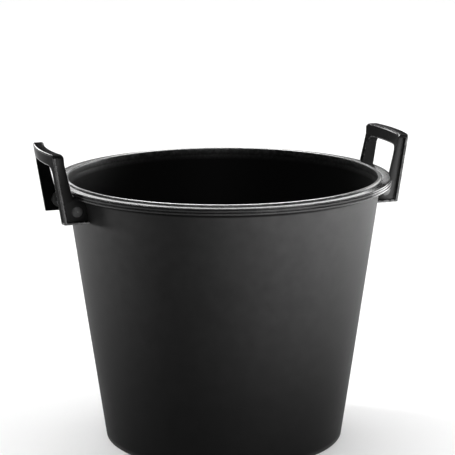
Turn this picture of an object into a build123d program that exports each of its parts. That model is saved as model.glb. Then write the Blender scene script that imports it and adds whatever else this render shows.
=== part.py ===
from build123d import *
import math
import os

# Mortar mixing tub: a tapered plastic shell, a rim band snapped over its lip, and two upright loop
# handles, each held to lugs on the shell by two headed pins with spring clips.
# Millimetres, +Z up. The origin is the centre of the base, on the floor. The handles stand at -X and +X.

# Shell
tub_height = 400.0         # floor to the top of the lip
base_diameter = 359.0      # outside, at the floor
lip_width = 5.5
wall = 4.0                 # measured level
bottom_thickness = 5.0
foot_height = 6.0          # the bottom is lifted off the floor by a foot ring
foot_width = 8.0
inside_corner = 18.0
foot_corner = 2.0
lip_flat = 0.3             # left level between the lip's two rounded edges

# Rim band
rim_diameter = 500.0
ledge_width = 14.5
ledge_drop = 2.5           # the ledge lies this far below the top of the lip
band_height = 9.5
band_thickness = 3.0
band_edge = 0.8
groove_radius = 0.8
groove_drops = (1.2, 5.2)  # below the ledge

# Handles
handle_width = 121.6
handle_rise = 53.4         # above the top of the lip
handle_fall = 48.7         # below the top of the lip
leg_thickness = 11.0
grip_depth = 15.6          # through the grip, at its top
grip_height = 18.8
top_overhang = 30.6        # past the rim band, at the top of the grip
foot_overhang = 14.7       # past the rim band, at the foot of the legs
skirt_gap = 0.3            # between the rim band and the legs
opening_corner = 12.0
shoulder_corner = 5.0
grip_round = 2.5
pocket_depth = 3.4
pocket_frame = 3.6
pocket_corner = 2.0

# Pins, lugs and clips
pin_diameter = 8.0
pin_clearance = 0.1        # all round, in the legs and the lugs
pin_head_diameter = 15.0
pin_head_height = 2.4
pin_head_round = 2.2
pin_inset = 22.0           # from the outer face of the leg to the pin
pin_rise = 18.0            # from the foot of the leg to the pin
tail_length = 2.5          # past the clip
tail_chamfer = 0.8
lug_thickness = 6.0
lug_radius = 12.0
clip_thickness = 1.0
clip_play = 0.1
clip_diameter = 15.0
clip_groove_depth = 0.8
clip_mouth = 5.6

# Worked out from the sizes above
base_radius = base_diameter / 2
rim_radius = rim_diameter / 2
lip_radius = rim_radius - ledge_width
mouth_radius = lip_radius - lip_width
top_reach = rim_radius + top_overhang
foot_reach = rim_radius + foot_overhang
taper = (lip_radius - base_radius) / tub_height
lip_angle = math.pi / 2 - math.atan(taper)
lip_round = (lip_width - lip_flat) / (1 + 1 / math.tan(lip_angle / 2))
ledge_z = tub_height - ledge_drop
skirt_z = ledge_z - band_height
handle_top_z = tub_height + handle_rise
handle_foot_z = tub_height - handle_fall
half_width = handle_width / 2
opening_half = half_width - leg_thickness
opening_top_z = handle_top_z - grip_height
pin_radius = pin_diameter / 2
pin_z = handle_foot_z + pin_rise
head_seat = half_width - pocket_depth
groove_floor = pin_radius - clip_groove_depth
lug_inner = opening_half - lug_thickness
pocket_reach = pocket_frame + 2 * pocket_corner


def shell_radius(z):
    """Outside radius of the tapered wall at height z."""
    return base_radius + taper * z


def leg_outer_radius(z):
    """Radius of a leg's outer face at height z."""
    lean = (top_reach - foot_reach) / (handle_rise + handle_fall)
    return foot_reach + lean * (z - handle_foot_z)


def chord_x(radius, y):
    """How far out a circle of this radius lies on a line at y beside the X axis."""
    return math.sqrt(radius ** 2 - y ** 2)


def corner(section, x, y):
    """The corner of a section nearest to a point."""
    return section.vertices().sort_by_distance(Vector(x, y))[0]


pin_x = chord_x(leg_outer_radius(pin_z), half_width) - pin_inset


def pin_plane(side, leg):
    """Plane under a pin's head: its normal points along the pin, out of the leg."""
    return Plane(origin=(side * pin_x, leg * head_seat, pin_z), x_dir=(1, 0, 0), z_dir=(0, leg, 0))


def leg_outline():
    """Corners of a handle's upright section, as (radius, height)."""
    return [
        (shell_radius(skirt_z), skirt_z),
        (rim_radius + skirt_gap, skirt_z),
        (top_reach - grip_depth, handle_top_z),
        (top_reach, handle_top_z),
        (foot_reach, handle_foot_z),
        (shell_radius(handle_foot_z), handle_foot_z),
    ]


os.makedirs("parts", exist_ok=True)

# Tub shell: wall, bottom, foot ring and lip are one lathe shape, with four lugs on the outside.
straight_z = (mouth_radius + wall - base_radius) / taper
floor_z = foot_height + bottom_thickness
floor_radius = shell_radius(floor_z) - wall
with BuildPart() as tub_shell:
    with BuildSketch(Plane.XZ) as shell_section:
        with BuildLine():
            Polyline(
                (0, foot_height),
                (base_radius - foot_width, foot_height),
                (base_radius - foot_width, 0),
                (base_radius, 0),
                (lip_radius, tub_height),
                (mouth_radius, tub_height),
                (mouth_radius, straight_z),
                (floor_radius, floor_z),
                (0, floor_z),
                close=True,
            )
        make_face()
        fillet(corner(shell_section, floor_radius, floor_z), radius=inside_corner)
        fillet(corner(shell_section, base_radius, 0), radius=foot_corner)
        fillet(corner(shell_section, base_radius - foot_width, 0), radius=foot_corner)
        fillet(corner(shell_section, lip_radius, tub_height), radius=lip_round)
        fillet(corner(shell_section, mouth_radius, tub_height), radius=lip_round)
    revolve(axis=Axis.Z)
    lug_middle = opening_half - lug_thickness / 2
    lug_top_z = pin_z + lug_radius
    lug_foot_z = pin_z - lug_radius
    for leg in (-1, 1):
        for side in (-1, 1):
            with BuildSketch(Plane.XZ.offset(-leg * lug_middle)):
                with BuildLine():
                    Polyline(
                        (side * chord_x(shell_radius(lug_top_z) - wall / 2, lug_middle), lug_top_z),
                        (side * pin_x, lug_top_z),
                        (side * pin_x, lug_foot_z),
                        (side * chord_x(shell_radius(lug_foot_z) - wall / 2, lug_middle), lug_foot_z),
                        close=True,
                    )
                make_face()
                with Locations((side * pin_x, pin_z)):
                    Circle(lug_radius)
                    Circle(pin_radius + pin_clearance, mode=Mode.SUBTRACT)
            extrude(amount=lug_thickness / 2, both=True)
tub_shell.part.label = "tub_shell"
export_step(tub_shell.part, "parts/tub_shell.step")

# Rim band: a channel section with its bore on the shell's taper and two grooves round its skirt.
with BuildPart() as rim_band:
    with BuildSketch(Plane.XZ) as band_section:
        under_ledge_z = ledge_z - band_thickness
        with BuildLine():
            Polyline(
                (shell_radius(skirt_z), skirt_z),
                (shell_radius(skirt_z) + band_thickness, skirt_z),
                (shell_radius(under_ledge_z) + band_thickness, under_ledge_z),
                (rim_radius - band_thickness, under_ledge_z),
                (rim_radius - band_thickness, skirt_z),
                (rim_radius, skirt_z),
                (rim_radius, ledge_z),
                (shell_radius(ledge_z), ledge_z),
                close=True,
            )
        make_face()
        fillet(corner(band_section, rim_radius, skirt_z), radius=band_edge)
        fillet(corner(band_section, rim_radius, ledge_z), radius=band_edge / 2)
        chamfer(corner(band_section, shell_radius(ledge_z), ledge_z), length=band_edge)
        with Locations(*[(rim_radius, ledge_z - drop) for drop in groove_drops]):
            Circle(groove_radius, mode=Mode.SUBTRACT)
    revolve(axis=Axis.Z)
rim_band.part.label = "rim_band"
export_step(rim_band.part, "parts/rim_band.step")


# Handles: a bent slab, trimmed to the loop's width, opened between the legs, with a pocket on the
# outer side of each leg. The pocket has a frame along the foot, the outside and the top, and is open
# toward the tub and the rim band.
rim_clearance = rim_radius - shell_radius(skirt_z)
half_sweep = math.degrees(math.asin(half_width / shell_radius(handle_foot_z))) + 1
for side, side_name in ((-1, "left"), (1, "right")):
    turn = 0 if side > 0 else 180
    with BuildPart() as handle:
        with BuildSketch(Plane.XZ.rotated((0, 0, turn - half_sweep))):
            with BuildLine():
                Polyline(*leg_outline(), close=True)
            make_face()
        revolve(axis=Axis.Z, revolution_arc=2 * half_sweep)
        middle_z = (handle_top_z + handle_foot_z) / 2
        with BuildSketch(Plane.YZ) as loop_front:
            with Locations((0, middle_z)):
                Rectangle(handle_width, handle_top_z - handle_foot_z)
            fillet(loop_front.vertices().group_by(Axis.Y)[-1], radius=shoulder_corner)
        extrude(amount=side * 2 * rim_radius, mode=Mode.INTERSECT)
        with BuildSketch(Plane.YZ) as opening:
            with Locations((0, opening_top_z)):
                Rectangle(2 * opening_half, 2 * (opening_top_z - handle_foot_z + 1))
            with Locations((0, opening_top_z + handle_rise + handle_fall)):
                Rectangle(handle_width, 2 * (handle_rise + handle_fall), mode=Mode.SUBTRACT)
            fillet(opening.vertices().group_by(Axis.Y)[-1], radius=opening_corner)
        extrude(amount=side * 2 * rim_radius, mode=Mode.SUBTRACT)
        rim_edges = handle.faces().sort_by(Axis.Z)[-1].edges()
        fillet(rim_edges, radius=grip_round)
        for leg in (-1, 1):
            with BuildSketch(Plane.XZ.offset(-leg * half_width)) as pocket:
                with BuildLine():
                    Polyline(*[(side * chord_x(r, half_width), z) for r, z in leg_outline()], close=True)
                make_face()
                offset(amount=-pocket_frame, kind=Kind.INTERSECTION, mode=Mode.REPLACE)
                fillet(pocket.vertices(), radius=pocket_corner)
                add(pocket.sketch_local.moved(Location((-side * pocket_reach, 0, 0))))
                with Locations((side * chord_x(rim_radius, half_width), skirt_z)):
                    Rectangle(2 * rim_clearance, 2 * pocket_reach)
            extrude(amount=leg * pocket_depth, mode=Mode.SUBTRACT)
            with BuildSketch(pin_plane(side, leg)):
                Circle(pin_radius + pin_clearance)
            extrude(amount=-leg_thickness, mode=Mode.SUBTRACT)
    handle.part.label = f"{side_name}_handle"
    export_step(handle.part, f"parts/{side_name}_handle.step")

# Pins and clips: one of each through every leg, with the head in the leg's pocket and the clip
# against the lug.
clip_seat = head_seat - lug_inner
for side, side_name in ((-1, "left"), (1, "right")):
    for leg, leg_name in ((-1, "front"), (1, "rear")):
        seat = pin_plane(side, leg)
        shank = clip_seat + clip_thickness + clip_play + tail_length
        with BuildPart() as pin:
            with BuildSketch(seat.offset(-shank)):
                Circle(pin_radius)
            extrude(amount=shank)
            chamfer(pin.faces().sort_by(Axis.Y)[0 if leg > 0 else -1].edges(), length=tail_chamfer)
            with BuildSketch(seat):
                Circle(pin_head_diameter / 2)
            extrude(amount=pin_head_height)
            fillet(pin.faces().sort_by(Axis.Y)[-1 if leg > 0 else 0].edges(), radius=pin_head_round)
            with BuildSketch(seat.offset(-clip_seat)):
                Circle(pin_radius)
                Circle(groove_floor, mode=Mode.SUBTRACT)
            extrude(amount=-clip_thickness - clip_play, mode=Mode.SUBTRACT)
        pin.part.label = f"{side_name}_{leg_name}_pin"
        export_step(pin.part, f"parts/{side_name}_{leg_name}_pin.step")

        with BuildPart() as clip:
            with BuildSketch(seat.offset(-clip_seat)):
                Circle(clip_diameter / 2)
                Circle(groove_floor, mode=Mode.SUBTRACT)
                with Locations((side * clip_diameter / 2, 0)):
                    Rectangle(clip_diameter, clip_mouth, mode=Mode.SUBTRACT)
            extrude(amount=-clip_thickness)
        clip.part.label = f"{side_name}_{leg_name}_clip"
        export_step(clip.part, f"parts/{side_name}_{leg_name}_clip.step")
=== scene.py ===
import math

import bpy
import numpy as np
from mathutils import Matrix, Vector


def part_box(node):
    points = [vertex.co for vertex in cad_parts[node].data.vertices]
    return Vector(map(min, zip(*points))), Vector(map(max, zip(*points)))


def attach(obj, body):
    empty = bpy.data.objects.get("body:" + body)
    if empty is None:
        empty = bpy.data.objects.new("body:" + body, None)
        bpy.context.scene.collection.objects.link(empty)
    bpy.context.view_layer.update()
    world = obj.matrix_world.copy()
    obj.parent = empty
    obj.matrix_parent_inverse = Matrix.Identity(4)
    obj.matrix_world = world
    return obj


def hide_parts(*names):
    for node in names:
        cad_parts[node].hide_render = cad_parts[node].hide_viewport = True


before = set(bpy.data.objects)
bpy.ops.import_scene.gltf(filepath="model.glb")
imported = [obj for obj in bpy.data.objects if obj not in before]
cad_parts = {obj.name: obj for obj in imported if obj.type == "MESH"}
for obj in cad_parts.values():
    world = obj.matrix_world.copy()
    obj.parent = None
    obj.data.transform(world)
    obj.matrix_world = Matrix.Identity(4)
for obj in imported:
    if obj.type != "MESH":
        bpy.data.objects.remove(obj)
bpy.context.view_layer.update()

# A black mortar mixing tub: a turned shell with a lip, a grooved rim band and two upright loop
# handles pinned to lugs under the rim. Metres, +Z up, with the origin under the middle of the base.

MM = 0.001

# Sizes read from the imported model
BAND_LOW, BAND_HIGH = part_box("rim_band")
SHELL_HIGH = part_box("tub_shell")[1]
HANDLE_LOW, HANDLE_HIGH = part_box("right_handle")
PIN_LOW, PIN_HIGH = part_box("right_rear_pin")

LIP_Z = SHELL_HIGH.z
RIM_RADIUS = BAND_HIGH.y
LEDGE_Z = BAND_HIGH.z
SKIRT_Z = BAND_LOW.z
LIP_RADIUS = SHELL_HIGH.y

# Shell sizes that the box can't tell
BASE_RADIUS = 179.5 * MM
LIP_WIDTH = 5.5 * MM
WALL = 4.0 * MM
FOOT_HEIGHT = 6.0 * MM
FOOT_WIDTH = 8.0 * MM
BOTTOM = 5.0 * MM
TAPER = (LIP_RADIUS - BASE_RADIUS) / LIP_Z

# Handle sizes that the box can't tell
LEG = 11.0 * MM
GRIP_HEIGHT = 18.8 * MM
GRIP_DEPTH = 15.6 * MM
TOP_REACH = RIM_RADIUS + 30.6 * MM
FOOT_REACH = RIM_RADIUS + 14.7 * MM
SKIRT_GAP = 0.3 * MM
OPENING_CORNER = 12.0 * MM
SHOULDER_CORNER = 5.0 * MM
HALF_WIDTH = HANDLE_HIGH.y
OPENING_HALF = HALF_WIDTH - LEG
POCKET_FRAME = 3.6 * MM
POCKET_DEPTH = 3.4 * MM

# Pins and lugs
PIN_X = (PIN_LOW.x + PIN_HIGH.x) / 2
PIN_Z = (PIN_LOW.z + PIN_HIGH.z) / 2
PIN_LENGTH = PIN_HIGH.y - PIN_LOW.y
HEAD_RADIUS = (PIN_HIGH.z - PIN_LOW.z) / 2
HEAD_HEIGHT = 2.4 * MM
SHANK_RADIUS = 4.0 * MM
LUG_THICKNESS = 6.0 * MM
LUG_RADIUS = 12.0 * MM
CLIP_THICKNESS = 1.0 * MM


# How finely the pieces are cut round
SHELL_SEGMENTS = 288
BAND_SEGMENTS = 360
PIN_SEGMENTS = 64
LUG_SEGMENTS = 96


# ---------------------------------------------------------------- mesh making

def shell_radius(z):
    """Outside of the tapered wall: the base radius plus the taper times the height."""
    return BASE_RADIUS + TAPER * z


def quads(rows, columns, close_rows, close_columns):
    """Corner numbers of the quads of a rows by columns grid, as an (n, 4) array."""
    i = np.arange(rows if close_rows else rows - 1)
    j = np.arange(columns if close_columns else columns - 1)
    i, j = np.meshgrid(i, j, indexing="ij")
    i, j = i.ravel(), j.ravel()
    below, beside = (i + 1) % rows, (j + 1) % columns
    return np.stack([i * columns + j, i * columns + beside, below * columns + beside, below * columns + j], 1)


def signed_volume(points, faces):
    """Six times the volume inside the faces: the sum of the triple products of their fan triangles."""
    total = 0.0
    for group in faces:
        for k in range(1, group.shape[1] - 1):
            a, b, c = points[group[:, 0]], points[group[:, k]], points[group[:, k + 1]]
            total += np.sum(a * np.cross(b, c))
    return total


def make_piece(name, points, faces, edge, hollow=None):
    """A smooth mesh object from an (n, 3) array and a list of face arrays, with a mask of its edges and
    one of its hollows per point. Faces that enclose a negative volume are turned over."""
    mesh = bpy.data.meshes.new(name)
    if signed_volume(points, faces) < 0:
        faces = [group[:, ::-1] for group in faces]
    mesh.from_pydata(points.tolist(), [], [f for group in faces for f in group.tolist()])
    mesh.polygons.foreach_set("use_smooth", np.ones(len(mesh.polygons), bool))
    for label, mask in (("edge", edge), ("hollow", np.zeros(len(points)) if hollow is None else hollow)):
        mesh.attributes.new(label, "FLOAT", "POINT").data.foreach_set("value", mask.ravel())
    mesh.validate()
    mesh.update()
    piece = bpy.data.objects.new(name, mesh)
    bpy.context.scene.collection.objects.link(piece)
    return piece


def round_corners(corners, steps=6):
    """An outline through (x, y, radius) corners. Each corner becomes an arc of its radius that touches
    both straight sides, cut into equal angles. Returns the points and a mask that is 1 on the arcs."""
    corners = np.array(corners, float)
    places, radii = corners[:, :2], corners[:, 2]
    before = np.roll(places, 1, 0) - places
    after = np.roll(places, -1, 0) - places
    before /= np.linalg.norm(before, axis=1)[:, None]
    after /= np.linalg.norm(after, axis=1)[:, None]
    points, mask = [], []
    for place, radius, back, ahead in zip(places, radii, before, after):
        if radius == 0:
            points.append(place[None])
            mask.append(np.zeros(1))
            continue
        half = math.acos(np.clip(back @ ahead, -1, 1)) / 2
        middle = (back + ahead) / np.linalg.norm(back + ahead)
        centre = place + middle * radius / math.sin(half)
        start = place + back * radius / math.tan(half) - centre
        turn = (math.pi - 2 * half) * np.sign(back[1] * ahead[0] - back[0] * ahead[1])
        angle = np.linspace(0, turn, steps + 1)
        cos, sin = np.cos(angle), np.sin(angle)
        arc = np.stack([start[0] * cos - start[1] * sin, start[0] * sin + start[1] * cos], 1)
        points.append(centre + arc)
        mask.append(np.ones(steps + 1))
    return np.concatenate(points), np.concatenate(mask)


def lathe(name, profile, edge, segments, closed, wave=None, carry=None, hollow=None):
    """A (radius, height) profile turned about Z: x = r cos t, y = r sin t, z = height. A closed profile
    gives a ring; an open one starts and ends on the axis, where fans close its poles. wave adds to the
    radius by angle and height, and carry moves the finished points to where the part belongs."""
    turn = np.linspace(0, 2 * np.pi, segments, endpoint=False)
    radius, height = profile[:, :1], profile[:, 1:]
    inner = slice(None) if closed else slice(1, -1)
    ring = radius[inner] + (wave(turn[None], height[inner]) if wave else 0 * turn[None])
    grid = np.stack([ring * np.cos(turn), ring * np.sin(turn), height[inner] + 0 * ring], -1)
    rows = len(grid)
    masks = np.stack([edge, np.zeros(len(edge)) if hollow is None else hollow], 1)
    points, mask = grid.reshape(-1, 3), np.repeat(masks[inner], segments, axis=0)
    faces = [quads(rows, segments, closed, True)[:, ::-1]]
    if not closed:
        first, last = len(points), len(points) + 1
        poles = [[0, 0, height[0, 0]], [0, 0, height[-1, 0]]]
        points = np.concatenate([points, poles])
        mask = np.concatenate([mask, masks[[0, -1]]])
        j = np.arange(segments)
        beside = (j + 1) % segments
        end = (rows - 1) * segments
        faces.append(np.stack([np.full(segments, first), beside, j], 1))
        faces.append(np.stack([np.full(segments, last), end + j, end + beside], 1))
    return make_piece(name, carry(points) if carry else points, faces, mask[:, 0], mask[:, 1])


# ---------------------------------------------------------------- shared effects

def new_group(name, inputs, outputs):
    """A shader node group with these sockets. Returns it with its input and output nodes."""
    tree = bpy.data.node_groups.new(name, "ShaderNodeTree")
    for label, kind, value in inputs:
        socket = tree.interface.new_socket(label, in_out="INPUT", socket_type=kind)
        socket.default_value = value
    for label, kind in outputs:
        tree.interface.new_socket(label, in_out="OUTPUT", socket_type=kind)
    return tree, tree.nodes.new("NodeGroupInput"), tree.nodes.new("NodeGroupOutput")


def node(tree, kind, links=(), **settings):
    """A node with its settings, and its inputs linked from sockets or set to values."""
    made = tree.nodes.new(kind)
    for key, value in settings.items():
        setattr(made, key, value)
    for key, value in dict(links).items():
        if isinstance(value, bpy.types.NodeSocket):
            tree.links.new(value, made.inputs[key])
        else:
            made.inputs[key].default_value = value
    return made


def multiply(tree, first, second):
    """The product of two values."""
    return node(tree, "ShaderNodeMath", {0: first, 1: second}, operation="MULTIPLY").outputs[0]


def noise(tree, place, scale, detail):
    """Soft noise over coordinates."""
    return node(tree, "ShaderNodeTexNoise", {"Vector": place, "Scale": scale, "Detail": detail}).outputs[0]


def ramp(tree, value, start, end, low=0.0, high=1.0, **settings):
    """A value carried from start..end to low..high, and held at both ends."""
    links = {"Value": value, "From Min": start, "From Max": end, "To Min": low, "To Max": high}
    return node(tree, "ShaderNodeMapRange", links, **settings).outputs[0]


def object_place(tree):
    """The object's own coordinates."""
    return node(tree, "ShaderNodeTexCoord").outputs["Object"]


def part_of(tree, vector, axis):
    """One coordinate of a vector."""
    return node(tree, "ShaderNodeSeparateXYZ", {0: vector}).outputs[axis]


def mesh_mask(tree, label):
    """A mask that the mesh carries at its points."""
    return node(tree, "ShaderNodeAttribute", attribute_name=label).outputs["Fac"]


def round_coordinates():
    """Coordinates that wrap a round wall without a seam: the unit direction from the axis, times a
    spread, and the height, times a rise."""
    tree, source, result = new_group(
        "wrap_round_wall",
        [("Spread", "NodeSocketFloat", 1.0), ("Rise", "NodeSocketFloat", 1.0)],
        [("Vector", "NodeSocketVector")],
    )
    place = object_place(tree)
    flat = node(tree, "ShaderNodeVectorMath", {0: place, 1: (1, 1, 0)}, operation="MULTIPLY").outputs[0]
    unit = node(tree, "ShaderNodeVectorMath", {0: flat}, operation="NORMALIZE").outputs[0]
    wide = node(tree, "ShaderNodeVectorMath", {0: unit, "Scale": source.outputs["Spread"]}, operation="SCALE")
    rise = multiply(tree, part_of(tree, place, "Z"), source.outputs["Rise"])
    tall = node(tree, "ShaderNodeCombineXYZ", {"Z": rise}).outputs[0]
    both = node(tree, "ShaderNodeVectorMath", {0: wide.outputs[0], 1: tall}, operation="ADD").outputs[0]
    tree.links.new(both, result.inputs["Vector"])
    return tree


def moulded_grain():
    """Mould grain as a height, from fine noise, and a slow cloud of uneven tone."""
    tree, source, result = new_group(
        "moulded_grain",
        [("Grain", "NodeSocketFloat", 1600.0), ("Unevenness", "NodeSocketFloat", 60.0)],
        [("Height", "NodeSocketFloat"), ("Cloud", "NodeSocketFloat")],
    )
    place = object_place(tree)
    tree.links.new(noise(tree, place, source.outputs["Grain"], 2.0), result.inputs["Height"])
    tree.links.new(noise(tree, place, source.outputs["Unevenness"], 4.0), result.inputs["Cloud"])
    return tree


def scuffs():
    """Fine rubbed lines: noise stretched by the coordinates it is given, kept only at its peaks."""
    tree, source, result = new_group(
        "scuffs",
        [("Vector", "NodeSocketVector", (0, 0, 0)), ("Threshold", "NodeSocketFloat", 0.66)],
        [("Mask", "NodeSocketFloat")],
    )
    softness = 0.08
    lines = noise(tree, source.outputs["Vector"], 1.0, 3.0)
    start = source.outputs["Threshold"]
    full = node(tree, "ShaderNodeMath", {0: start, 1: softness}, operation="ADD").outputs[0]
    tree.links.new(ramp(tree, lines, start, full), result.inputs["Mask"])
    return tree


def edge_rub_and_highlight():
    """Edges lighter partly from handling and partly as painted highlight: the piece's own edge mask broken up
    by noise.
    """
    tree, source, result = new_group(
        "edge_rub_and_highlight",
        [("Breakup", "NodeSocketFloat", 220.0), ("Amount", "NodeSocketFloat", 0.5)],
        [("Mask", "NodeSocketFloat")],
    )
    patch = ramp(tree, noise(tree, object_place(tree), source.outputs["Breakup"], 5.0), 0.42, 0.68)
    rubbed = multiply(tree, mesh_mask(tree, "edge"), patch)
    tree.links.new(multiply(tree, rubbed, source.outputs["Amount"]), result.inputs["Mask"])
    return tree


def settled_dust():
    """A thin film of dust that lies on faces that look up, thicker in patches."""
    tree, source, result = new_group(
        "settled_dust",
        [("Patches", "NodeSocketFloat", 30.0), ("Amount", "NodeSocketFloat", 0.2)],
        [("Mask", "NodeSocketFloat")],
    )
    normal = node(tree, "ShaderNodeNewGeometry").outputs["Normal"]
    up = ramp(tree, part_of(tree, normal, "Z"), 0.3, 1.0)
    patch = ramp(tree, noise(tree, object_place(tree), source.outputs["Patches"], 6.0), 0.35, 0.75)
    film = multiply(tree, up, patch)
    tree.links.new(multiply(tree, film, source.outputs["Amount"]), result.inputs["Mask"])
    return tree


def pin_pocket_light():
    """Painted light in a leg's pocket: the share of the floor that takes the lighter pocket tone, most of it
    near the pin, less up the leg, and none toward the wall. It is read from the distance to the pin's axis
    and the place along X."""
    tree, source, result = new_group(
        "painted_light_round_pin",
        [("Reach", "NodeSocketFloat", 16.0 * MM), ("Leg share", "NodeSocketFloat", 0.45)],
        [("Share", "NodeSocketFloat")],
    )
    plus = node(tree, "ShaderNodeVectorMath", {0: object_place(tree)}, operation="ABSOLUTE").outputs[0]
    flat = node(tree, "ShaderNodeVectorMath", {0: plus, 1: (1, 0, 1)}, operation="MULTIPLY").outputs[0]
    axis = {0: flat, 1: (PIN_X, 0, PIN_Z)}
    away = node(tree, "ShaderNodeVectorMath", axis, operation="DISTANCE").outputs["Value"]
    full_within, clean_x, dusty_x = 3.0 * MM, PIN_X - 4.0 * MM, PIN_X + 6.0 * MM
    near = ramp(tree, away, source.outputs["Reach"], full_within, interpolation_type="SMOOTHSTEP")
    leg = ramp(tree, part_of(tree, flat, "X"), clean_x, dusty_x, high=source.outputs["Leg share"])
    both = node(tree, "ShaderNodeMath", {0: near, 1: leg}, operation="MAXIMUM").outputs[0]
    tree.links.new(both, result.inputs["Share"])
    return tree


def wall_painted_shade():
    """Painted shade on the wall, as the share of its full tone: all of it at the rim, less toward the foot,
    and almost none on the strip that the band covers from above, which is a painted shadow."""
    tree, source, result = new_group(
        "wall_painted_shade", [("Foot share", "NodeSocketFloat", 0.38)], [("Share", "NodeSocketFloat")],
    )
    height = part_of(tree, object_place(tree), "Z")
    shade_from, shade_to = 80 * MM, 370 * MM
    strip_foot, strip_top, strip_share = SKIRT_Z - 7.6 * MM, SKIRT_Z - 5.2 * MM, 0.03
    rise = ramp(tree, height, shade_from, shade_to, low=source.outputs["Foot share"])
    band_shadow = ramp(tree, height, strip_foot, strip_top, low=1.0, high=strip_share)
    tree.links.new(multiply(tree, rise, band_shadow), result.inputs["Share"])
    return tree


WRAP = round_coordinates()
GRAIN = moulded_grain()
SCUFFS = scuffs()
RUB_AND_HIGHLIGHT = edge_rub_and_highlight()
DUST = settled_dust()
PIN_POCKET_LIGHT = pin_pocket_light()
WALL_SHADE = wall_painted_shade()


# ---------------------------------------------------------------- materials

DUST_COLOUR = (0.30, 0.29, 0.27, 1)
# Painted shadow: the near-black tone of the wall's strip under the band.
PAINTED_SHADOW_TONE = 0.0015
DARK_CLOUD, PALE_CLOUD = 0.72, 1.35      # how far the cloud takes a tone down and up
LEVEL_SCUFFS = dict(Spread=2.5, Rise=420.0)
UPRIGHT_SCUFFS = dict(Spread=150.0, Rise=6.0)


def use(tree, shared, **values):
    """A shared effect placed in a material, with its own values."""
    made = tree.nodes.new("ShaderNodeGroup")
    made.node_tree = shared
    for key, value in values.items():
        socket = made.inputs[key]
        if isinstance(value, bpy.types.NodeSocket):
            tree.links.new(value, socket)
        else:
            socket.default_value = value
    return made.outputs


def mix_colour(tree, amount, first, second):
    """first where amount is 0 and second where it is 1."""
    made = tree.nodes.new("ShaderNodeMix")
    made.data_type = "RGBA"
    for key, value in ((0, amount), (6, first), (7, second)):
        if isinstance(value, bpy.types.NodeSocket):
            tree.links.new(value, made.inputs[key])
        else:
            made.inputs[key].default_value = value
    return made.outputs[2]


def add(tree, *terms):
    """The sum of (value, factor) terms."""
    total = None
    for value, factor in terms:
        scaled = multiply(tree, value, factor)
        total = scaled if total is None else node(tree, "ShaderNodeMath", {0: total, 1: scaled}).outputs[0]
    return total


def grey(value):
    """A neutral colour."""
    return value, value, value, 1


def new_material(name):
    """A material with its node tree and its shader."""
    material = bpy.data.materials.new(name)
    material.use_nodes = True
    return material, material.node_tree, material.node_tree.nodes["Principled BSDF"]


def black_plastic(name, tone, roughness, specular, grain, grain_height, rub_and_highlight, rub_and_highlight_tone, polish, dust,
                  painted_hollow_tone, wall_shaded=False, pocket_lit=False):
    """Moulded black plastic: cloudy tone and gloss, fine grain, long rubbed lines, edges lightened partly by
    handling and partly as painted highlight, edges polished by handling, a painted tone in hollows (painted
    shade inside the tub and in grooves, painted light in the handles' pockets), painted shade down the wall
    on the shell, and a thin film of dust."""
    material, tree, shader = new_material(name)
    mould = use(tree, GRAIN, Grain=grain)
    level_lines = use(tree, WRAP, **LEVEL_SCUFFS)["Vector"]
    level = use(tree, SCUFFS, Vector=level_lines, Threshold=0.67)["Mask"]
    upright_lines = use(tree, WRAP, **UPRIGHT_SCUFFS)["Vector"]
    upright = use(tree, SCUFFS, Vector=upright_lines, Threshold=0.70)["Mask"]
    edge_wear_and_highlight = use(tree, RUB_AND_HIGHLIGHT, Amount=rub_and_highlight)["Mask"]
    edge = mesh_mask(tree, "edge")
    film = use(tree, DUST, Amount=dust)["Mask"]
    colour = mix_colour(tree, mould["Cloud"], grey(DARK_CLOUD * tone), grey(PALE_CLOUD * tone))
    # Painted shade: the wall darker toward the foot, and a painted shadow under the band.
    if wall_shaded:
        colour = mix_colour(tree, use(tree, WALL_SHADE)["Share"], grey(PAINTED_SHADOW_TONE), colour)
    # Painted shade in the hollows of the shell and band; painted light on the handles' pocket floors.
    hollow = mesh_mask(tree, "hollow")
    if pocket_lit:
        hollow = multiply(tree, hollow, use(tree, PIN_POCKET_LIGHT)["Share"])
    colour = mix_colour(tree, hollow, colour, grey(painted_hollow_tone))
    # Lighter edges: part handling, part painted highlight.
    colour = mix_colour(tree, edge_wear_and_highlight, colour, grey(rub_and_highlight_tone))
    colour = mix_colour(tree, film, colour, DUST_COLOUR)
    tree.links.new(colour, shader.inputs["Base Color"])
    gloss = add(tree, (1.0, roughness), (mould["Cloud"], 0.10), (level, 0.10), (upright, 0.05), (edge_wear_and_highlight, 0.10),
                (film, 0.5), (edge, -0.4 * polish * roughness))
    tree.links.new(gloss, shader.inputs["Roughness"])
    tree.links.new(add(tree, (1.0, specular), (edge, polish)), shader.inputs["Specular IOR Level"])
    height = add(tree, (mould["Height"], grain_height), (level, -0.10 * grain_height),
                 (mould["Cloud"], 2.0 * grain_height))
    bump = node(tree, "ShaderNodeBump", {"Height": height, "Strength": 1.0, "Distance": MM})
    tree.links.new(bump.outputs[0], shader.inputs["Normal"])
    return material


def spring_steel(name):
    """Blackened spring steel: cloudy tone and gloss with fine grain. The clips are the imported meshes,
    which carry no edge mask, so they have no rubbed edges."""
    material, tree, shader = new_material(name)
    mould = use(tree, GRAIN, Grain=2600.0, Unevenness=400.0)
    colour = mix_colour(tree, mould["Cloud"], (0.05, 0.05, 0.055, 1), (0.13, 0.13, 0.14, 1))
    tree.links.new(colour, shader.inputs["Base Color"])
    tree.links.new(add(tree, (1.0, 0.28), (mould["Cloud"], 0.2)), shader.inputs["Roughness"])
    bump = node(tree, "ShaderNodeBump", {"Height": add(tree, (mould["Height"], 0.01)), "Distance": MM})
    tree.links.new(bump.outputs[0], shader.inputs["Normal"])
    shader.inputs["Metallic"].default_value = 1.0
    return material


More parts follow.
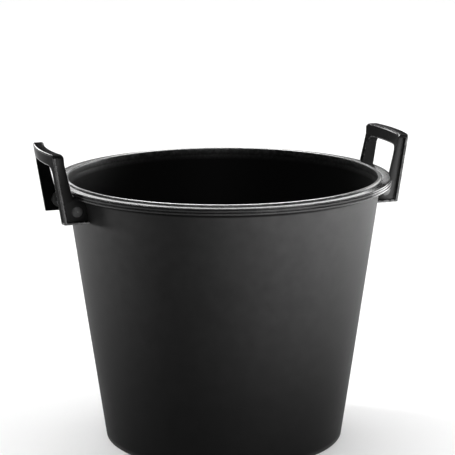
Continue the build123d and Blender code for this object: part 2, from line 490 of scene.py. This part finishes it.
SHELL_BLACK = black_plastic(
    "satin_tub_polyethylene", tone=0.0125, roughness=0.46, specular=0.04, grain=1500.0, grain_height=0.030,
    rub_and_highlight=0.5, rub_and_highlight_tone=0.12, polish=0.9, dust=0.02, painted_hollow_tone=0.0035, wall_shaded=True)
BAND_BLACK = black_plastic(
    "rim_band_polypropylene", tone=0.010, roughness=0.12, specular=0.02, grain=2200.0, grain_height=0.006,
    rub_and_highlight=0.3, rub_and_highlight_tone=0.06, polish=0.55, dust=0.01, painted_hollow_tone=0.0005)
HANDLE_BLACK = black_plastic(
    "handle_polypropylene", tone=0.0025, roughness=0.18, specular=0.004, grain=2000.0, grain_height=0.005,
    rub_and_highlight=0.45, rub_and_highlight_tone=0.12, polish=0.9, dust=0.01, painted_hollow_tone=0.036, pocket_lit=True)
PIN_BLACK = black_plastic(
    "pin_nylon", tone=0.026, roughness=0.36, specular=0.30, grain=3000.0, grain_height=0.006,
    rub_and_highlight=0.20, rub_and_highlight_tone=0.05, polish=0.0, dust=0.0, painted_hollow_tone=0.010)
CLIP_STEEL = spring_steel("blackened_spring_steel")


def finish_piece(piece, material, slot, *nodes):
    """Gives a piece its material and body, and hides the CAD nodes it stands for; the slot is not used."""
    piece.data.materials.append(material)
    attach(piece, "root")
    if nodes:
        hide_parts(*nodes)
    return piece


# ---------------------------------------------------------------- tub shell

def wall_wave(turn, height):
    """The slight waviness of a moulded wall: cosines round the tub that fade out at foot and rim."""
    fade_length, wave_height = 60 * MM, 0.22 * MM
    fade = np.clip(height / fade_length, 0, 1)
    fade = fade * np.clip((SKIRT_Z - fade_length - height) / fade_length, 0, 1)
    shape = np.cos(2 * turn + 0.6) + 0.5 * np.cos(5 * turn + 9 * height / LIP_Z)
    shape = shape + 0.3 * np.cos(9 * turn + 2.0)
    return wave_height * fade * shape


def make_shell():
    """The shell's section, from the axis under the bottom, round the foot and up the outside, over the
    lip and down the inside to the axis, turned about Z."""
    mouth = LIP_RADIUS - LIP_WIDTH
    floor_z = FOOT_HEIGHT + BOTTOM
    straight_z = (mouth + WALL - BASE_RADIUS) / TAPER
    outside_rows, inside_rows = 33, 30
    outside = np.linspace(0.02, 0.98, outside_rows) * LIP_Z
    inside = np.linspace(straight_z - 8 * MM, floor_z + 30 * MM, inside_rows)
    corners = [(0, FOOT_HEIGHT, 0), (BASE_RADIUS - FOOT_WIDTH, FOOT_HEIGHT, 1.5 * MM),
               (BASE_RADIUS - FOOT_WIDTH, 0, 2 * MM), (BASE_RADIUS, 0, 2 * MM)]
    corners += [(shell_radius(z), z, 0) for z in outside]
    corners += [(LIP_RADIUS, LIP_Z, 2.5 * MM), (mouth, LIP_Z, 2.5 * MM), (mouth, straight_z, 5 * MM)]
    corners += [(shell_radius(z) - WALL, z, 0) for z in inside]
    corners += [(shell_radius(floor_z) - WALL, floor_z, 18 * MM), (0, floor_z, 0)]
    profile, edge = round_corners(corners, steps=10)
    radius, height = profile[:, 0], profile[:, 1]
    # The lip's edges take the lighter edge tone: part handling, part painted highlight.
    wear_and_highlight_below_lip = 0.2
    edge = np.where(height > LIP_Z - LIP_WIDTH, edge, wear_and_highlight_below_lip * edge)
    # Painted shade: the inside of the tub takes a darker hollow tone.
    hollow = (radius < shell_radius(height) - 3 * MM) & (height > floor_z - 0.1 * MM)
    hollow &= height < LIP_Z - LIP_WIDTH
    shell = lathe("tub_shell_wall", profile, edge, SHELL_SEGMENTS, False, wall_wave,
                  hollow=hollow.astype(float))
    return finish_piece(shell, SHELL_BLACK, "tub_plastic", "tub_shell")


make_shell()


# ---------------------------------------------------------------- rim band

def make_band():
    """The band's channel section, with its bore on the shell's taper, a ledge that falls away outward
    with the square of the distance, and two grooves round its skirt, turned about Z."""
    thick = 3 * MM
    under = LEDGE_Z - thick
    groove, half_groove = 1.6 * MM, 0.9 * MM
    upper_groove, lower_groove = LEDGE_Z - 1.8 * MM, LEDGE_Z - 5.8 * MM
    inner = shell_radius(LEDGE_Z) + 0.9 * MM
    share = np.linspace(1, 0.15, 9)
    ledge = [(inner + u * (RIM_RADIUS - 1.6 * MM - inner), LEDGE_Z - 0.15 * MM * u * u, 0) for u in share]
    corners = [
        (inner, LEDGE_Z, 0.4 * MM),
        (shell_radius(LEDGE_Z - 0.9 * MM) + 0.05 * MM, LEDGE_Z - 0.9 * MM, 0.3 * MM),
        (shell_radius(SKIRT_Z) + 0.05 * MM, SKIRT_Z, 0.4 * MM),
        (shell_radius(SKIRT_Z) + thick, SKIRT_Z, 0.6 * MM),
        (shell_radius(under) + thick, under, 1.2 * MM),
        (RIM_RADIUS - thick, under, 1.2 * MM),
        (RIM_RADIUS - thick, SKIRT_Z, 0.6 * MM),
        (RIM_RADIUS, SKIRT_Z, 1.1 * MM),
        (RIM_RADIUS, lower_groove - half_groove, 0.9 * MM),
        (RIM_RADIUS - groove, lower_groove - 0.7 * half_groove, 0.1 * MM),
        (RIM_RADIUS - groove, lower_groove + 0.7 * half_groove, 0.1 * MM),
        (RIM_RADIUS, lower_groove + half_groove, 0.9 * MM),
        (RIM_RADIUS, upper_groove - half_groove, 0.9 * MM),
        (RIM_RADIUS - groove, upper_groove - 0.7 * half_groove, 0.1 * MM),
        (RIM_RADIUS - groove, upper_groove + 0.7 * half_groove, 0.1 * MM),
        (RIM_RADIUS - 0.5 * MM, upper_groove + half_groove, 0.1 * MM),
        (RIM_RADIUS - 0.5 * MM, LEDGE_Z - 0.3 * MM, 0.25 * MM),
    ]
    profile, edge = round_corners(corners + ledge, steps=4)
    radius, height = profile[:, 0], profile[:, 1]
    # The ledge and the skirt's corners take the lighter edge tone: part handling, part painted highlight.
    ledge_wear_and_highlight, skirt_wear_and_highlight = 1.0, 0.3
    edge = np.where(height > LEDGE_Z - 0.55 * MM, ledge_wear_and_highlight, skirt_wear_and_highlight * edge)
    # Painted shade: the grooves take a near-black hollow tone.
    grooved = (radius > RIM_RADIUS - 1.7 * MM) & (radius < RIM_RADIUS - 0.7 * MM)
    grooved &= height < LEDGE_Z - 0.5 * MM
    band = lathe("rim_band_ring", profile, edge, BAND_SEGMENTS, True, hollow=grooved.astype(float))
    return finish_piece(band, BAND_BLACK, "band_plastic", "rim_band")


make_band()


# ---------------------------------------------------------------- handles

def leg_outer(z):
    """Radius of the handle's outer face, straight from the foot to the top."""
    return FOOT_REACH + (z - HANDLE_LOW.z) * (TOP_REACH - FOOT_REACH) / (HANDLE_HIGH.z - HANDLE_LOW.z)


def leg_inner(z):
    """Radius of the handle's inner face, straight from the skirt's lower edge to the top."""
    start = RIM_RADIUS + SKIRT_GAP
    return start + (z - SKIRT_Z) * (TOP_REACH - GRIP_DEPTH - start) / (HANDLE_HIGH.z - SKIRT_Z)


# Columns round the handle's section. Each has a place across the loop (on its outer or inner side,
# with an inset that turns the corner) and along the radius (from its inner or outer face).
ROUND_STEPS = 4
ROUND = np.linspace(0, math.pi / 2, ROUND_STEPS + 1)
POCKET_OFFSETS = np.array([0, 0.35, 0.75, 1.4]) * MM
POCKET_DEPTHS = np.array([0, 0.22, 0.86, 1.0]) * POCKET_DEPTH

# Rows along the handle: round its foot, round a bend and to the middle of the grip, and where the
# loop's inner side has its rows while the outer side closes its pocket
FOOT_STEPS, BEND_STEPS, GRIP_STEPS = 4, 13, 17
INNER_SHARES = (0.80, 0.85, 0.9, 0.95)


def section_columns():
    """The columns as arrays: on the loop's outer side or not, at the inner face or not, corner insets
    across and along as shares of the corner radius, and pocket offset and depth. The pocket is open
    toward the tub, so the corner there sinks with it."""
    out_in = dict(side=1, near=1, across=1 - np.sin(ROUND), along=1 - np.cos(ROUND), depth=POCKET_DEPTH)
    out_out = dict(side=1, near=0, across=1 - np.cos(ROUND), along=1 - np.sin(ROUND))
    in_out = dict(side=0, near=0, across=1 - np.sin(ROUND), along=1 - np.cos(ROUND))
    in_in = dict(side=0, near=1, across=1 - np.cos(ROUND), along=1 - np.sin(ROUND))
    steps = len(POCKET_OFFSETS)
    pocket = dict(side=1, near=0, offset=POCKET_OFFSETS[::-1], depth=POCKET_DEPTHS[::-1], pocket=1)
    parts = [(out_in, ROUND_STEPS + 1), (pocket, steps), (out_out, ROUND_STEPS + 1),
             (in_out, ROUND_STEPS + 1), (in_in, ROUND_STEPS + 1)]
    keys = ("side", "near", "across", "along", "offset", "depth", "pocket")
    return {key: np.concatenate([np.broadcast_to(np.asarray(p.get(key, 0), float), (n,)) for p, n in parts])
            for key in keys}


def make_handle(name, turned, cad_node):
    """A rounded section carried up one leg, along the grip and down the other leg. Each row gives the
    loop's outer and inner side, as (tangential place, height) with the direction into the plastic;
    each column gives the inset and the radius. A point's x is the square root of r^2 - s^2, so that the
    grip follows the rim's circle."""
    col = section_columns()
    side, near, pocket = col["side"] == 1, col["near"] == 1, col["pocket"] == 1
    foot, top = HANDLE_LOW.z, HANDLE_HIGH.z
    opening_top = top - GRIP_HEIGHT
    outer_bend, inner_bend = top - SHOULDER_CORNER, opening_top - OPENING_CORNER
    foot_round, leg_round, grip_round = 1.0 * MM, 1.1 * MM, 2.6 * MM
    pocket_foot, pocket_top = foot + POCKET_FRAME, outer_bend - 0.2 * MM
    rows = []

    def leg_row(z, shrink=0.0, pocket_depth=0.0, block=True):
        """One row of a leg: heights per column, how far it shrinks, and how deep its pocket may be."""
        rows.append(dict(s_out=HALF_WIDTH, s_in=OPENING_HALF, z=z + 0 * side, shrink=shrink, block=block,
                         pocket=pocket_depth, angle=0.0, radius=leg_round))

    for turn in np.linspace(0, math.pi / 2, FOOT_STEPS):
        leg_row(foot + foot_round * (1 - math.cos(turn)), shrink=foot_round * (1 - math.sin(turn)))
    for offset, depth in zip(POCKET_OFFSETS, POCKET_DEPTHS):
        leg_row(pocket_foot + offset, pocket_depth=depth)
    low = np.where(near, SKIRT_Z, SKIRT_Z - 2 * POCKET_FRAME)
    high = np.where(near, SKIRT_Z, SKIRT_Z + POCKET_FRAME)
    leg_row(low, pocket_depth=POCKET_DEPTH)
    leg_row(high, pocket_depth=POCKET_DEPTH, block=False)
    for share, offset, depth in zip(INNER_SHARES, POCKET_OFFSETS[::-1], POCKET_DEPTHS[::-1]):
        inner_z = SKIRT_Z + share * (inner_bend - SKIRT_Z)
        leg_row(np.where(side, pocket_top - offset, inner_z), pocket_depth=depth, block=False)
    leg_row(np.where(side, outer_bend, inner_bend), block=False)
    for turn in np.linspace(0, math.pi / 2, BEND_STEPS)[1:]:
        sin, cos = math.sin(turn), math.cos(turn)
        rows.append(dict(
            s_out=HALF_WIDTH - SHOULDER_CORNER * (1 - cos),
            s_in=OPENING_HALF - OPENING_CORNER * (1 - cos),
            z=np.where(side, outer_bend + SHOULDER_CORNER * sin, inner_bend + OPENING_CORNER * sin),
            shrink=0.0, block=False, pocket=0.0, angle=turn,
            radius=leg_round + (grip_round - leg_round) * sin))
    grip_end = dict(rows[-1])
    for share in np.linspace(1, 0, GRIP_STEPS)[1:]:
        rows.append(dict(grip_end, s_out=grip_end["s_out"] * share, s_in=grip_end["s_in"] * share))

    mirror = [dict(r, mirror=-1) for r in rows[-2::-1]]
    rows = [dict(r, mirror=1) for r in rows] + mirror

    def take(key):
        """One value of every row, as a column."""
        return np.array([r[key] for r in rows], float)[:, None]

    height = np.array([r["z"] for r in rows], float)
    radius, shrink, angle, flip = take("radius"), take("shrink"), take("angle"), take("mirror")
    depth = np.minimum(take("pocket"), col["depth"][None])
    inset = np.where(pocket, 0, radius * col["across"]) + depth + shrink
    across = np.where(side, take("s_out") - inset * np.cos(angle), take("s_in") + inset * np.cos(angle))
    height = height + np.where(side, -inset, inset) * np.sin(angle)
    plane = np.where(pocket & (np.sin(angle) < 0.5), take("s_out"), across)
    inner_face = np.where(take("block") == 1, shell_radius(height) + 0.05 * MM, leg_inner(height))
    along = np.where(pocket, POCKET_FRAME + col["offset"], radius * col["along"]) + shrink
    reach = np.where(near, inner_face + along, leg_outer(height) - along)
    x = np.sqrt(reach ** 2 - plane ** 2)
    points = np.stack([x, across * flip, height], -1)
    # Corners, the pocket frame and the foot take the lighter edge tone: part handling, part painted
    # highlight.
    corner_gain, frame_polish_and_highlight, foot_polish_and_highlight = 3.4, 0.35, 0.6
    corner = np.where(pocket, 0.0, np.minimum(col["across"], col["along"]) * corner_gain)
    edge = np.broadcast_to(corner, x.shape)
    framed = side & ~near & (height < outer_bend) & (pocket | (col["along"] > 0.5))
    edge = np.where(framed, np.maximum(edge, frame_polish_and_highlight * (depth == 0)), edge)
    edge = np.where(side & (height < pocket_foot + 0.2 * MM), np.maximum(edge, foot_polish_and_highlight), edge)
    # Painted light: the pocket floor takes the handle's lighter hollow tone, most of it round the pin.
    hollow = np.where(side & ~near, depth / POCKET_DEPTH, 0)
    if turned:
        points = points * (-1, -1, 1)
    n_rows, n_columns = x.shape
    ring = np.arange(n_columns)
    faces = [quads(n_rows, n_columns, False, True),
             ring[None, ::-1], (ring + (n_rows - 1) * n_columns)[None]]
    handle = make_piece(name, points.reshape(-1, 3), faces, np.clip(edge, 0, 1), hollow)
    weight = handle.modifiers.new("even_normals", "WEIGHTED_NORMAL")
    weight.keep_sharp = True
    return finish_piece(handle, HANDLE_BLACK, "handle_plastic", cad_node)


make_handle("right_handle_loop", False, "right_handle")
make_handle("left_handle_loop", True, "left_handle")


# ---------------------------------------------------------------- lugs, pins and clips

LUG_INNER = OPENING_HALF - LUG_THICKNESS


def make_lugs():
    """Four plates on the shell's outside. Each runs round its pin hole: the radius goes from the hole
    to an edge that is a half circle outward and, toward the wall, the straight sides of a tongue, where
    it is the lesser of the half height over |sin t| and the reach over |cos t|. A closed section with
    broken corners carries the plate's thickness."""
    # The lugs' edge mask gives the lighter edge tone: part handling, part painted highlight.
    hole, into_wall, bevel, lug_wear_and_highlight = 4.1 * MM, 14 * MM, 0.5 * MM, 0.3
    turn = np.linspace(0, 2 * np.pi, LUG_SEGMENTS, endpoint=False)
    sin, cos = np.abs(np.sin(turn)) + 1e-9, np.cos(turn)
    tongue = np.minimum(LUG_RADIUS / sin, into_wall / np.maximum(-cos, 1e-9))
    outer = np.where(cos >= 0, LUG_RADIUS, tongue)
    thick = LUG_THICKNESS
    section = [(hole, 0, bevel), (hole + bevel, 0, 0), (-bevel, 1, 0), (0, 1, bevel),
               (0, 1, thick - bevel), (-bevel, 1, thick), (hole + bevel, 0, thick), (hole, 0, thick - bevel)]
    base, share, depth = [np.array(section)[:, k:k + 1] for k in range(3)]
    radius = base + share * outer[None]
    faces, points, mask, count = [], [], [], len(section) * len(turn)
    for side in (-1, 1):
        for leg in (-1, 1):
            x = side * (PIN_X + radius * cos[None])
            y = leg * (LUG_INNER + depth + 0 * radius)
            z = PIN_Z + radius * np.sin(turn)[None]
            grid = quads(len(section), len(turn), True, True)
            if side * leg > 0:
                grid = grid[:, ::-1]
            faces.append(grid + count * len(points))
            points.append(np.stack([x, y, z], -1).reshape(-1, 3))
            mask.append(np.full(count, lug_wear_and_highlight))
    lugs = make_piece("tub_shell_lugs", np.concatenate(points), faces, np.concatenate(mask))
    weight = lugs.modifiers.new("even_normals", "WEIGHTED_NORMAL")
    weight.keep_sharp = True
    return finish_piece(lugs, SHELL_BLACK, "tub_plastic", "tub_shell")


def make_pin(side_name, leg_name):
    """A pin turned about its own axis: chamfered tail, clip groove, shank, and a head whose dome falls
    with the square of the radius."""
    node_name = f"{side_name}_{leg_name}_pin"
    low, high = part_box(node_name)
    leg = 1 if leg_name == "rear" else -1
    middle = (low + high) / 2
    tail_y = low.y if leg > 0 else high.y
    seat = PIN_LENGTH - HEAD_HEIGHT
    groove_top = seat - (HALF_WIDTH - POCKET_DEPTH - LUG_INNER)
    groove_foot = groove_top - CLIP_THICKNESS - 0.1 * MM
    neck = SHANK_RADIUS - 0.8 * MM
    share = np.linspace(1, 0, 13)
    dome = [(HEAD_RADIUS * u, PIN_LENGTH - (HEAD_HEIGHT - 0.5 * MM) * u * u, 0) for u in share]
    corners = [(0, 0, 0), (SHANK_RADIUS, 0, 0.8 * MM), (SHANK_RADIUS, groove_foot, 0.2 * MM),
               (neck, groove_foot, 0.1 * MM), (neck, groove_top, 0.1 * MM),
               (SHANK_RADIUS, groove_top, 0.2 * MM), (SHANK_RADIUS, seat, 0.3 * MM),
               (HEAD_RADIUS, seat, 0.1 * MM)]
    profile, edge = round_corners(corners + dome, steps=4)

    def carry(points):
        """Lays the turned part along Y, with its head outward."""
        along, height = tail_y + leg * points[:, 2], middle.z - leg * points[:, 1]
        return np.stack([middle.x + points[:, 0], along, height], 1)

    pin = lathe(node_name + "_turned", profile, 0.5 * edge, PIN_SEGMENTS, False, carry=carry)
    return finish_piece(pin, PIN_BLACK, "pin_plastic", node_name)


make_lugs()
for side_name in ("left", "right"):
    for leg_name in ("front", "rear"):
        make_pin(side_name, leg_name)
        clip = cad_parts[f"{side_name}_{leg_name}_clip"]
        clip.data.materials.clear()
        clip.data.materials.append(CLIP_STEEL)


# ---------------------------------------------------------------- stage, light and camera

def pale_floor():
    """A wide matt white floor with a faint unevenness."""
    half = 20.0
    mesh = bpy.data.meshes.new("studio_floor")
    corners = [(-half, -half, 0), (half, -half, 0), (half, half, 0), (-half, half, 0)]
    mesh.from_pydata(corners, [], [(0, 1, 2, 3)])
    floor = bpy.data.objects.new("studio_floor", mesh)
    bpy.context.scene.collection.objects.link(floor)
    material, tree, shader = new_material("matt_white_floor")
    cloud = noise(tree, object_place(tree), 3.0, 4.0)
    tree.links.new(mix_colour(tree, cloud, grey(0.90), grey(0.93)), shader.inputs["Base Color"])
    shader.inputs["Roughness"].default_value = 0.9
    shader.inputs["Specular IOR Level"].default_value = 0.1
    mesh.materials.append(material)


def facing(right, up, back, place):
    """The matrix of a lamp or camera at a place, from its three directions."""
    return Matrix([(right[i], up[i], back[i], place[i]) for i in range(3)] + [(0, 0, 0, 1)])


def soft_light(name, place, aim, size, power, shows=True, lights=True, spread=180):
    """A rectangular soft light that looks at a point. It can be kept out of reflections, or be only a
    card that reflections see, and its beam can be narrowed to a spread in degrees."""
    lamp = bpy.data.lights.new(name, "AREA")
    lamp.shape = "RECTANGLE"
    lamp.size, lamp.size_y = size
    lamp.energy = power
    light = bpy.data.objects.new(name, lamp)
    bpy.context.scene.collection.objects.link(light)
    place, aim = np.array(place, float), np.array(aim, float)
    back = (place - aim) / np.linalg.norm(place - aim)
    right = np.cross((0, 0, 1), back)
    right /= np.linalg.norm(right)
    up = np.cross(back, right)
    light.matrix_world = facing(right, up, back, place)
    lamp.spread = math.radians(spread)
    light.visible_glossy = shows
    light.visible_diffuse = lights
    light.visible_camera = False


def white_surround(strength):
    """An even white surround."""
    world = bpy.data.worlds.new("white_surround")
    world.use_nodes = True
    world.node_tree.nodes["Background"].inputs["Color"].default_value = (1, 1, 1, 1)
    world.node_tree.nodes["Background"].inputs["Strength"].default_value = strength
    bpy.context.scene.world = world


CAMERA_TURN = math.radians(-19.094)
CAMERA_RISE = math.radians(12.3)
CAMERA_DISTANCE = 2.5692
VIEW_WIDTH, VIEW_DEPTH = 455, 1713.8     # width of the view and its distance, in one unit
CAMERA_FIELD = 2 * math.atan(0.5 * VIEW_WIDTH / VIEW_DEPTH)
CAMERA_ASIDE = 6.32 * MM
CAMERA_DROP = 82.4 * MM
CAMERA_ROLL = math.radians(-0.129)


def place_camera():
    """A camera at the viewing angle, aimed a little below the rim."""
    lens = bpy.data.cameras.new("camera")
    lens.sensor_width = 36.0
    lens.angle = CAMERA_FIELD
    lens.clip_end = 100.0
    camera = bpy.data.objects.new("camera", lens)
    bpy.context.scene.collection.objects.link(camera)
    sin, cos = math.sin(CAMERA_TURN), math.cos(CAMERA_TURN)
    level = math.cos(CAMERA_RISE)
    back = np.array([sin * level, -cos * level, math.sin(CAMERA_RISE)])
    right = np.array([cos, sin, 0])
    up = np.cross(back, right)
    target = right * CAMERA_ASIDE + np.array([0, 0, LIP_Z - CAMERA_DROP])
    place = target + back * CAMERA_DISTANCE
    rolled = right * math.cos(CAMERA_ROLL) + up * math.sin(CAMERA_ROLL)
    up = np.cross(back, rolled)
    camera.matrix_world = facing(rolled, up, back, place)
    bpy.context.scene.camera = camera
    return back, right


def around(turn, distance, height):
    """A place round the tub: its bearing in degrees right of the camera, its distance and height."""
    turn = math.radians(turn)
    front = np.array([view_back[0], view_back[1], 0]) / math.cos(CAMERA_RISE)
    return (front * math.cos(turn) + view_right * math.sin(turn)) * distance + (0, 0, height)


pale_floor()
white_surround(0.03)
view_back, view_right = place_camera()
soft_light("key_right", around(78, 1.55, 0.22), (0, 0, 0.76),
           size=(0.9, 0.30), power=40, shows=False, spread=58)
soft_light("fill_left", around(-110, 1.5, 0.34), (0, 0, 0.50),
           size=(0.7, 0.16), power=15, shows=False, spread=44)
soft_light("front_fill", around(16, 2.2, 0.34), (0, 0, 0.48),
           size=(0.5, 0.16), power=1.0, shows=False, spread=36)
soft_light("ceiling_wash", around(180, 3.4, 5.0), around(180, 3.39, 0),
           size=(16.0, 13.0), power=1250, shows=False)
soft_light("ledge_card", around(180, 3.4, 1.22), around(180, 0, 0.42),
           size=(1.18, 0.34), power=3.4, lights=False)
soft_light("overhead_card", around(180, 1.0, 2.4), (0, 0, 0.4),
           size=(2.4, 1.0), power=230, lights=False)
soft_light("left_rear_card", around(-150, 2.2, 1.15), (0, 0, 0.45),
           size=(0.7, 0.8), power=12, lights=False)
soft_light("right_rear_card", around(128, 2.2, 0.5), (0, 0, 0.4),
           size=(1.0, 1.2), power=40, lights=False)
soft_light("front_card", around(8, 2.4, 1.5), (0, 0, 0.4),
           size=(1.2, 0.8), power=14, lights=False)
soft_light("low_front_card", around(38, 1.3, 0.16), (0, 0, 0.38),
           size=(0.8, 0.28), power=3.0, lights=False)

bpy.context.scene.view_settings.view_transform = "Standard"
